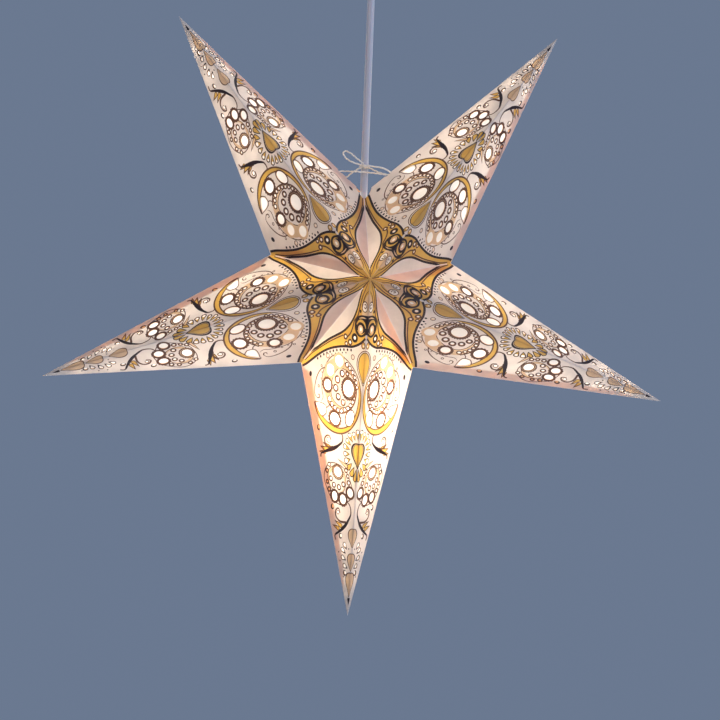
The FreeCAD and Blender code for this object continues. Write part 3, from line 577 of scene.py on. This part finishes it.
def add_cards(materials):
    """One folded card per arm, with its ornament, its windows and the flaps under it."""
    plain = divide(draw_facet())
    order = list(ARMS)
    for name, angle in ARMS.items():
        corners, faces, slots = [], [], []
        for side in (1, -1):
            for face in (-1, 1):
                facet = Facet(angle, side, face)
                cuts = notch_cuts(name, side, facet)
                add_facet(facet, divide(draw_facet() + cuts) if cuts else plain, corners, faces, slots)
                if side == 1:
                    add_strip(facet, corners, faces, slots)
                if side in SEAM_FLAPS.get(name, ()):
                    neighbour = order[(order.index(name) + side) % len(order)]
                    add_flap(Facet(ARMS[neighbour], -side, face), corners, faces, slots)
        piece = add_mesh(f"card_{name}", corners, faces, slots, materials)
        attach(piece, "star")
        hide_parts(f"arm_{name}_card")


def add_linings(material):
    """The thin white paper behind the windows, a little crumpled by its glue."""
    margin = [(-0.4, 0.9), (101.3, 92.8), (327.9, 0.9)]  # meets the next sheet behind every fold
    grid = [(u, v) for u in range(8, 326, 6) for v in range(4, 88, 6)]
    grid = [(u, v) for u, v in grid if v < 0.85 * u - 4 and v < (322 - u) * 0.393]
    for name, angle in ARMS.items():
        corners, faces, slots = [], [], []
        for side in (1, -1):
            for face in (-1, 1):
                facet = Facet(angle, side, face)
                points, kept = divide([("card", margin)] + notch_cuts(name, side, facet), grid)
                start = len(corners)
                for p in points:
                    crumple = noise.noise(Vector((p.x * 0.09, p.y * 0.09, angle + side * 7 + face * 3)))
                    corners.append(facet.place(p.x, p.y, CARD_THICK * 2.2 + crumple * 0.2 * MM))
                for triangle, ink in kept:
                    if ink != "hole":
                        order = list(triangle)[::-1] if facet.flipped else list(triangle)
                        faces.append([start + k for k in order])
                        slots.append(0)
        piece = add_mesh(f"lining_{name}", corners, faces, slots, [material])
        piece.data.shade_smooth()
        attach(piece, "star")
        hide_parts(f"arm_{name}_lining")


# ------------------------------------------------------------------ materials


class Nodes:
    """A small helper that adds shader nodes and joins them."""

    def __init__(self, name):
        self.material = bpy.data.materials.new(name)
        self.material.use_nodes = True
        self.tree = self.material.node_tree
        self.tree.nodes.clear()
        self.output = self.add("ShaderNodeOutputMaterial")
        self.where = self.add("ShaderNodeTexCoord").outputs["Object"]

    def add(self, kind, **values):
        """A node, with its values set on the sockets or properties of those names, or linked to them."""
        item = self.tree.nodes.new(kind)
        for key, value in values.items():
            socket = item.inputs.get(key.replace("_", " "))
            if socket is None:
                setattr(item, key, value)
            elif isinstance(value, bpy.types.NodeSocket):
                self.tree.links.new(value, socket)
            else:
                socket.default_value = value
        return item

    def noise(self, scale, detail=4.0, roughness=0.6, where=None):
        item = self.add("ShaderNodeTexNoise", Scale=scale, Detail=detail, Roughness=roughness)
        self.tree.links.new(where or self.where, item.inputs["Vector"])
        return item.outputs["Fac"]

    def blend(self, low, high, amount, spread=(0.35, 0.65)):
        """A colour that runs from low to high as amount crosses the spread."""
        ramp = self.add("ShaderNodeValToRGB")
        ramp.color_ramp.elements[0].position, ramp.color_ramp.elements[1].position = spread
        ramp.color_ramp.elements[0].color = (*low, 1)
        ramp.color_ramp.elements[1].color = (*high, 1)
        self.tree.links.new(amount, ramp.inputs["Fac"])
        return ramp.outputs["Color"]

    def bump(self, height, distance, strength=1.0):
        item = self.add("ShaderNodeBump", Strength=strength, Distance=distance, Height=height)
        return item.outputs["Normal"]

    def finish(self, shader):
        self.tree.links.new(shader, self.output.inputs["Surface"])
        return self.material


def shade(colour, share):
    return tuple(c * share for c in colour)


def paper(name, colour, glow, passing, roughness=0.72, specular=0.25, mottle=0.9):
    """Printed paper: its own colour by reflected light, and the glow's colour by light from behind."""
    nodes = Nodes(name)
    cloud = nodes.noise(55, detail=5)
    fibre = nodes.noise(1600, detail=5, roughness=0.75)
    surface = nodes.blend(shade(colour, mottle), colour, cloud, (0.3, 0.7))
    grain = nodes.blend(shade(glow, mottle * 0.92), glow, cloud, (0.3, 0.7))
    normal = nodes.bump(fibre, 0.00012, 0.55)
    front = nodes.add("ShaderNodeBsdfPrincipled", Base_Color=surface, Normal=normal, Roughness=roughness)
    front.inputs["Specular IOR Level"].default_value = specular
    through = nodes.add("ShaderNodeBsdfTranslucent", Color=grain, Normal=normal)
    mix = nodes.add("ShaderNodeMixShader", Fac=passing)
    nodes.tree.links.new(front.outputs[0], mix.inputs[1])
    nodes.tree.links.new(through.outputs[0], mix.inputs[2])
    return nodes.finish(mix.outputs[0])


def plastic(name, colour, roughness=0.4, coarse=260, mottle=0.94, coat=0.0):
    """Moulded plastic with a faint texture and a little unevenness of colour and gloss."""
    nodes = Nodes(name)
    cloud = nodes.noise(coarse, detail=4)
    fine = nodes.noise(coarse * 14, detail=3)
    surface = nodes.blend(shade(colour, mottle), colour, cloud)
    gloss = nodes.add("ShaderNodeMapRange", Value=cloud, To_Min=roughness * 0.85, To_Max=roughness * 1.2)
    body = nodes.add("ShaderNodeBsdfPrincipled", Base_Color=surface, Normal=nodes.bump(fine, 0.00003, 0.5))
    nodes.tree.links.new(gloss.outputs[0], body.inputs["Roughness"])
    body.inputs["Coat Weight"].default_value = coat
    return nodes.finish(body.outputs[0])


def metal(name, colour, roughness):
    """Plated or turned metal with fine scratches and duller patches."""
    nodes = Nodes(name)
    cloud = nodes.noise(300, detail=5)
    stretch = nodes.add("ShaderNodeMapping", Vector=nodes.where, Scale=(1, 1, 18))
    scratches = nodes.noise(700, detail=4, where=stretch.outputs[0])
    surface = nodes.blend(shade(colour, 0.84), colour, cloud)
    gloss = nodes.add("ShaderNodeMapRange", Value=cloud, To_Min=roughness * 0.7, To_Max=roughness * 1.4)
    body = nodes.add("ShaderNodeBsdfPrincipled", Base_Color=surface, Metallic=1.0)
    nodes.tree.links.new(nodes.bump(scratches, 0.00002, 0.4), body.inputs["Normal"])
    nodes.tree.links.new(gloss.outputs[0], body.inputs["Roughness"])
    return nodes.finish(body.outputs[0])


def clear_glass(name, tint, rim):
    """Thin glass: light goes straight through it, and it shines at its edges."""
    nodes = Nodes(name)
    edge = nodes.add("ShaderNodeLayerWeight", Blend=0.25)
    clear = nodes.add("ShaderNodeBsdfTransparent", Color=(*tint, 1))
    wipe = nodes.noise(180, detail=3)
    gloss = nodes.add("ShaderNodeMapRange", Value=wipe, To_Min=0.02, To_Max=0.09)
    shine = nodes.add("ShaderNodeBsdfGlossy", Color=(*rim, 1))
    nodes.tree.links.new(gloss.outputs[0], shine.inputs["Roughness"])
    mix = nodes.add("ShaderNodeMixShader")
    nodes.tree.links.new(edge.outputs["Fresnel"], mix.inputs[0])
    nodes.tree.links.new(clear.outputs[0], mix.inputs[1])
    nodes.tree.links.new(shine.outputs[0], mix.inputs[2])
    return nodes.finish(mix.outputs[0])


def glowing(name, colour, strength):
    nodes = Nodes(name)
    cloud = nodes.noise(900, detail=2)
    surface = nodes.blend(shade(colour, 0.8), colour, cloud)
    light = nodes.add("ShaderNodeEmission", Color=surface, Strength=strength)
    return nodes.finish(light.outputs[0])


def cord_painted_sheen():
    """Pale PVC with a painted sheen: its colour is painted lighter at its rims and darker where one looks
    straight into it.
    """
    nodes = Nodes("cord_painted_sheen")
    sheen_by_view = nodes.add("ShaderNodeLayerWeight", Blend=0.5)
    # painted sheen: grey where the cord faces the camera, pale towards its rims
    surface = nodes.blend((0.48, 0.47, 0.51), (0.88, 0.87, 0.88), sheen_by_view.outputs["Facing"], (0.2, 0.75))
    fine = nodes.noise(1500, detail=3)
    body = nodes.add("ShaderNodeBsdfPrincipled", Base_Color=surface, Roughness=0.34)
    nodes.tree.links.new(nodes.bump(fine, 0.00004, 0.5), body.inputs["Normal"])
    body.inputs["Subsurface Weight"].default_value = 0.15
    body.inputs["Subsurface Scale"].default_value = 0.002
    body.inputs["Coat Weight"].default_value = 0.25
    return nodes.finish(body.outputs[0])


def twine_fibre():
    """Pale cotton, hairy and uneven."""
    nodes = Nodes("twine_fibre")
    fibre = nodes.noise(2600, detail=5, roughness=0.8)
    cloud = nodes.noise(140, detail=3)
    surface = nodes.blend((0.86, 0.72, 0.56), (0.96, 0.90, 0.80), cloud)
    body = nodes.add("ShaderNodeBsdfPrincipled", Base_Color=surface, Roughness=0.9)
    nodes.tree.links.new(nodes.bump(fibre, 0.00015, 0.9), body.inputs["Normal"])
    body.inputs["Sheen Weight"].default_value = 0.4
    return nodes.finish(body.outputs[0])


def card_materials():
    """The card's inks, in the order of INKS."""
    return [
        paper("card", (0.87, 0.79, 0.73), (0.95, 0.83, 0.71), 0.46),
        paper("gold_ink", (0.56, 0.37, 0.15), (1.0, 0.60, 0.08), 0.42, 0.5, 0.4, 0.86),
        paper("tan_ink", (0.66, 0.49, 0.36), (1.0, 0.70, 0.38), 0.42, 0.6, 0.3, 0.86),
        paper("brown_ink", (0.11, 0.055, 0.04), (0.62, 0.26, 0.10), 0.08, 0.6, 0.3, 0.8),
        paper("dark_ink", (0.030, 0.018, 0.022), (0.25, 0.10, 0.06), 0.03, 0.55, 0.3, 0.8),
        paper("pale_ink", (0.86, 0.80, 0.76), (1.0, 0.92, 0.84), 0.55),
        # painted highlight along the folds: paper a little paler and cooler than the card
        paper("fold_highlight", (0.88, 0.83, 0.84), (1.0, 0.88, 0.80), 0.46),
        paper("bare_card", (0.84, 0.62, 0.42), (1.0, 0.50, 0.18), 0.4),
    ]


# ------------------------------------------------------------------ cords


def route_points(name, points):
    """Points along the smooth NURBS spline whose control points are the route's."""
    data = bpy.data.curves.new(name + "_route", "CURVE")
    data.dimensions = "3D"
    spline = data.splines.new("NURBS")
    spline.points.add(len(points) - 1)
    for target, point in zip(spline.points, points):
        target.co = (*point, 1)
    spline.order_u = 3
    spline.use_endpoint_u = True
    spline.resolution_u = 24
    bare = bpy.data.objects.new(name + "_route", data)
    bpy.context.scene.collection.objects.link(bare)
    mesh = bpy.data.meshes.new_from_object(bare)
    line = [v.co.copy() for v in mesh.vertices]
    bpy.data.objects.remove(bare)
    bpy.data.curves.remove(data)
    bpy.data.meshes.remove(mesh)
    return line


def swept(name, line, radius, material, around=24, strands=1, lay=None):
    """A mesh tube along a line, or this many thinner ones that wind round it, once per lay."""
    corners, faces = [], []
    offset = radius * 0.3 if strands > 1 else 0
    thick = radius - offset
    side = Vector((1, 0, 0))
    for strand in range(strands):
        travelled, rings = 0.0, []
        for k, point in enumerate(line):
            run = (line[min(k + 1, len(line) - 1)] - line[max(k - 1, 0)]).normalized()
            side = (side - run * side.dot(run)).normalized()
            other = run.cross(side)
            travelled += (point - line[k - 1]).length if k else 0
            wind = math.tau * (strand / strands + (travelled / lay if lay else 0))
            middle = point + (side * math.cos(wind) + other * math.sin(wind)) * offset
            rings.append(len(corners))
            for step in range(around):
                turn = math.tau * step / around
                corners.append(middle + (side * math.cos(turn) + other * math.sin(turn)) * thick)
        for first, second in zip(rings, rings[1:]):
            for step in range(around):
                after = (step + 1) % around
                faces.append([first + step, first + after, second + after, second + step])
        faces.append([rings[0] + step for step in reversed(range(around))])
        faces.append([rings[-1] + step for step in range(around)])
    piece = add_mesh(name, corners, faces, [0] * len(faces), [material])
    piece.data.shade_smooth()
    return piece


def add_cord():
    """The lamp cord, from the ceiling cup to the lampholder."""
    route = [(0, 0, z * MM) for z in (-16, -60, -96, -132, -250, -381)]
    line = route_points("cord", route)
    cord = swept("lamp_cord", line, CORD_RADIUS, cord_painted_sheen(), around=40)
    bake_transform(cord)
    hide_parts("cord_upper", "cord_drop")


# The twine, in mm: its level, its two holes' levels, and how far forward its strands cross the cord.
LEVEL = -250
UPPER, LOWER = LEVEL + 2.5, LEVEL - 4
TURN_RADIUS = 3.6 + 0.3 + 0.7
FRONT = -TURN_RADIUS - 1.8
KNOT_LEVEL = LEVEL + 7.6
TWINE_ROUTES = {
    "tie_twine": [
        (-3.5, FRONT - 0.4, LEVEL + 6.6),
        (-11, FRONT * 0.75, LEVEL + 2.6),
        (-18, -0.8, LOWER),
        (-22.5, 0.2, LOWER - 0.4),
        (-27, 0.4, LEVEL - 1),
        (-26, -0.6, UPPER),
        (-20, -1.4, UPPER + 0.2),
        (-6, FRONT, UPPER - 0.3),
        (8, FRONT, UPPER - 0.9),
        (19, -1.9, LEVEL + 1.4),
        (26, -0.8, LEVEL + 1.2),
        (30, -1.4, LEVEL + 1.2),
        (30.2, 1.4, LEVEL + 1.6),
        (26, 0.9, LEVEL + 1.8),
        (20, 0.4, LEVEL + 2),
        (11, FRONT * 0.72, LEVEL + 3.4),
        (3.5, FRONT - 0.4, LEVEL + 6.6),
    ],
    "tie_bow_loop": [
        (-1.6, FRONT - 1.8, LEVEL + 9.8),
        (-8.5, FRONT - 1.6, LEVEL + 14.5),
        (-15, FRONT - 1.5, LEVEL + 20),
        (-20.5, FRONT - 1.2, LEVEL + 21.8),
        (-22.3, FRONT - 0.6, LEVEL + 19.2),
        (-19.5, FRONT - 0.2, LEVEL + 14.8),
        (-13, FRONT - 0.2, LEVEL + 10.8),
        (-3.2, FRONT - 1, LEVEL + 8.4),
    ],
    "tie_tail": [
        (2.8, FRONT - 1.4, LEVEL + 8.4),
        (8, FRONT - 1.8, LEVEL + 7.4),
        (14, FRONT - 1.4, LEVEL + 7.4),
        (20, FRONT - 0.6, LEVEL + 6),
        (25, FRONT, LEVEL + 3),
    ],
}


def twine_piece(name, line, material, *nodes):
    """Three strands laid round each other along a line, in place of those CAD nodes."""
    piece = swept(name, line, TWINE_RADIUS, material, around=8, strands=3, lay=5 * MM)
    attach(piece, "tie")
    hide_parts(*nodes)
    return piece


def add_wrap(material):
    """Two turns of twine round the cord, the second one a little higher than the first."""
    line = []
    for k in range(97):
        turn = math.tau * 2 * k / 96
        rise = KNOT_LEVEL + 0.8 * (k / 48 - 1)
        line.append(Vector((TURN_RADIUS * math.sin(turn), -TURN_RADIUS * math.cos(turn), rise)) * MM)
    return twine_piece("twine_wrap", line, material, "tie_wrap")


def add_knot(material):
    """An overhand knot pulled tight: a trefoil, flat from front to back, and open where the ends leave it."""
    line = []
    middle = Vector((0, FRONT - 0.6, KNOT_LEVEL)) * MM
    for k in range(91):
        turn = math.tau * k / 96
        across = math.sin(turn) + 2 * math.sin(2 * turn)
        upward = math.cos(turn) - 2 * math.cos(2 * turn)
        line.append(middle + Vector((across * 0.95, -math.sin(3 * turn) * 0.9, upward * 0.5)) * MM)
    return twine_piece("twine_knot", line, material, "tie_knot")


def add_twine(material):
    """The twine through the upper arms, tied in a slip bow on the cord."""
    pieces, lines = {}, {}
    for name, points in TWINE_ROUTES.items():
        lines[name] = route_points(name, [Vector(p) * MM for p in points])
        pieces[name] = twine_piece(name + "_strands", lines[name], material, name)
    trimmings = [add_wrap(material), add_knot(material), pieces["tie_tail"]]


# ------------------------------------------------------------------ room, light and camera


def add_room():
    """A pale floor, as far below as in a high room, and no wall, which would hide the star from behind."""
    turns = [math.radians(5 * k) for k in range(72)]
    corners = [(FLOOR_REACH * math.cos(turn), FLOOR_REACH * math.sin(turn), FLOOR_LEVEL) for turn in turns]
    add_mesh("floor", corners, [list(range(len(corners)))], [0], [floor_paint()])


def floor_paint():
    nodes = Nodes("pale_paint")
    cloud = nodes.noise(1.5, detail=2)
    surface = nodes.blend((0.70, 0.74, 0.80), (0.76, 0.80, 0.85), cloud)
    body = nodes.add("ShaderNodeBsdfPrincipled", Base_Color=surface, Roughness=0.9)
    return nodes.finish(body.outputs[0])


def add_area_light(name, at, aim, size, power, colour):
    data = bpy.data.lights.new(name, "AREA")
    data.shape = "DISK"
    data.size, data.energy, data.color = size, power, colour
    lamp = bpy.data.objects.new(name, data)
    lamp.location = at
    lamp.rotation_euler = (Vector(aim) - Vector(at)).to_track_quat("-Z", "Y").to_euler()
    lamp.visible_camera = False
    bpy.context.scene.collection.objects.link(lamp)


def add_point_light(name, at, power, colour, radius, body):
    data = bpy.data.lights.new(name, "POINT")
    data.energy, data.color, data.shadow_soft_size = power, colour, radius
    lamp = bpy.data.objects.new(name, data)
    lamp.location = at
    bpy.context.scene.collection.objects.link(lamp)
    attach(lamp, body)


def add_lights():
    """The bulb's light, small soft lights for what bounces about inside the arms, and the studio's."""
    low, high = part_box("bulb_glass")
    add_point_light("bulb_light", (0, 0, low.z + 0.011), 1.4, (1.0, 0.92, 0.82), 0.009, "star")
    for name, angle in ARMS.items():
        out = Vector((math.cos(math.radians(angle)), 0, math.sin(math.radians(angle))))
        beside_bulb = 0.6 if name == "bottom" else 1  # the bulb itself lights the bottom arm
        for share in BOUNCE_SHARES:
            room = (1 - share) * ARM_ROOM
            power = BOUNCED * room**2 * beside_bulb
            at = CENTRE + out * TIP_RADIUS * share
            add_point_light(f"bounced_{name}_{share}", at, power, (1.0, 0.93, 0.85), room * 0.5, "star")
    add_area_light("key", (-1.8, -2.0, 0.5), CENTRE, 1.6, 10, (1.0, 0.88, 0.82))
    add_area_light("fill", (2.0, -1.5, 0.7), CENTRE, 2.0, 26, (0.56, 0.69, 1.0))
    add_area_light("low", (0.5, -1.9, -0.75), CENTRE, 1.2, 9, (1.0, 0.92, 0.90))
    add_area_light("back", (0.6, 1.0, 1.8), CENTRE, 1.5, 8, (0.9, 0.94, 1.0))
    add_area_light("floor_light", (0, 0, FLOOR_LEVEL + 1.1), (0, 0, FLOOR_LEVEL), 5, 70, (0.92, 0.95, 1.0))
    world = bpy.data.worlds.new("studio")
    world.use_nodes = True
    world.node_tree.nodes["Background"].inputs["Color"].default_value = (0.52, 0.68, 1.0, 1)
    world.node_tree.nodes["Background"].inputs["Strength"].default_value = 0.28
    bpy.context.scene.world = world


def add_camera():
    """The camera stands left of the star's axis and a little below it, rolled by about two degrees."""
    roll, tilt, turn = (math.radians(degrees) for degrees in (2.179, -2.779, 5.158))
    lean = Euler((0, roll, 0)).to_matrix() @ Euler((tilt, 0, 0)).to_matrix() @ Euler((0, 0, turn)).to_matrix()
    from_star = lean.transposed().to_4x4()
    distance, below = 1.793, 0.0693
    data = bpy.data.cameras.new("camera")
    data.sensor_width, data.lens = 36, 92.8
    camera = bpy.data.objects.new("camera", data)
    level = Matrix.Translation((0, -distance, -below)) @ Matrix.Rotation(math.radians(90), 4, "X")
    camera.matrix_world = Matrix.Translation(CENTRE) @ from_star @ level
    bpy.context.scene.collection.objects.link(camera)
    bpy.context.scene.camera = camera
    bpy.context.scene.view_settings.view_transform = "Standard"


def dress_cad():
    """Better materials for the CAD pieces that stay."""
    finishes = {
        "cup_white": plastic("cup_white_satin", (0.80, 0.79, 0.76), 0.32, coat=0.2),
        "white_plastic": plastic("holder_white", (0.76, 0.75, 0.72), 0.42),
        "terminal_plastic": plastic("terminal_nylon", (0.74, 0.71, 0.62), 0.5),
        "core_brown": plastic("core_brown_pvc", (0.20, 0.09, 0.05), 0.4),
        "core_blue": plastic("core_blue_pvc", (0.05, 0.14, 0.42), 0.4),
        "zinc_steel": metal("zinc", (0.72, 0.73, 0.75), 0.3),
        "brass": metal("brass_plain", (0.80, 0.58, 0.26), 0.28),
        "bulb_metal": metal("bulb_aluminium", (0.78, 0.78, 0.80), 0.3),
        "black_glass": plastic("bulb_bead", (0.02, 0.02, 0.025), 0.15),
        "bulb_glass": clear_glass("bulb_clear", (1.0, 0.99, 0.97), (1, 1, 1)),
        "stem_glass": clear_glass("stem_clear", (0.96, 0.98, 0.97), (1, 1, 1)),
        "filament": glowing("filament_coating", (1.0, 0.72, 0.36), 60.0),
        "twine": twine_fibre(),
    }
    slots = {part["node"]: part["material_slot"] for part in frame["record"]["subparts"]}
    for name, piece in frame["nodes"].items():
        finish = finishes.get(slots[name])
        if finish:
            for holder in piece.material_slots:
                holder.material = finish
    return finishes


add_camera()
add_room()
add_lights()
finishes = dress_cad()
add_cord()
add_twine(finishes["twine"])
add_cards(card_materials())
add_linings(paper("lining_paper", (0.88, 0.87, 0.85), (1.0, 0.98, 0.95), 0.8, mottle=0.93))
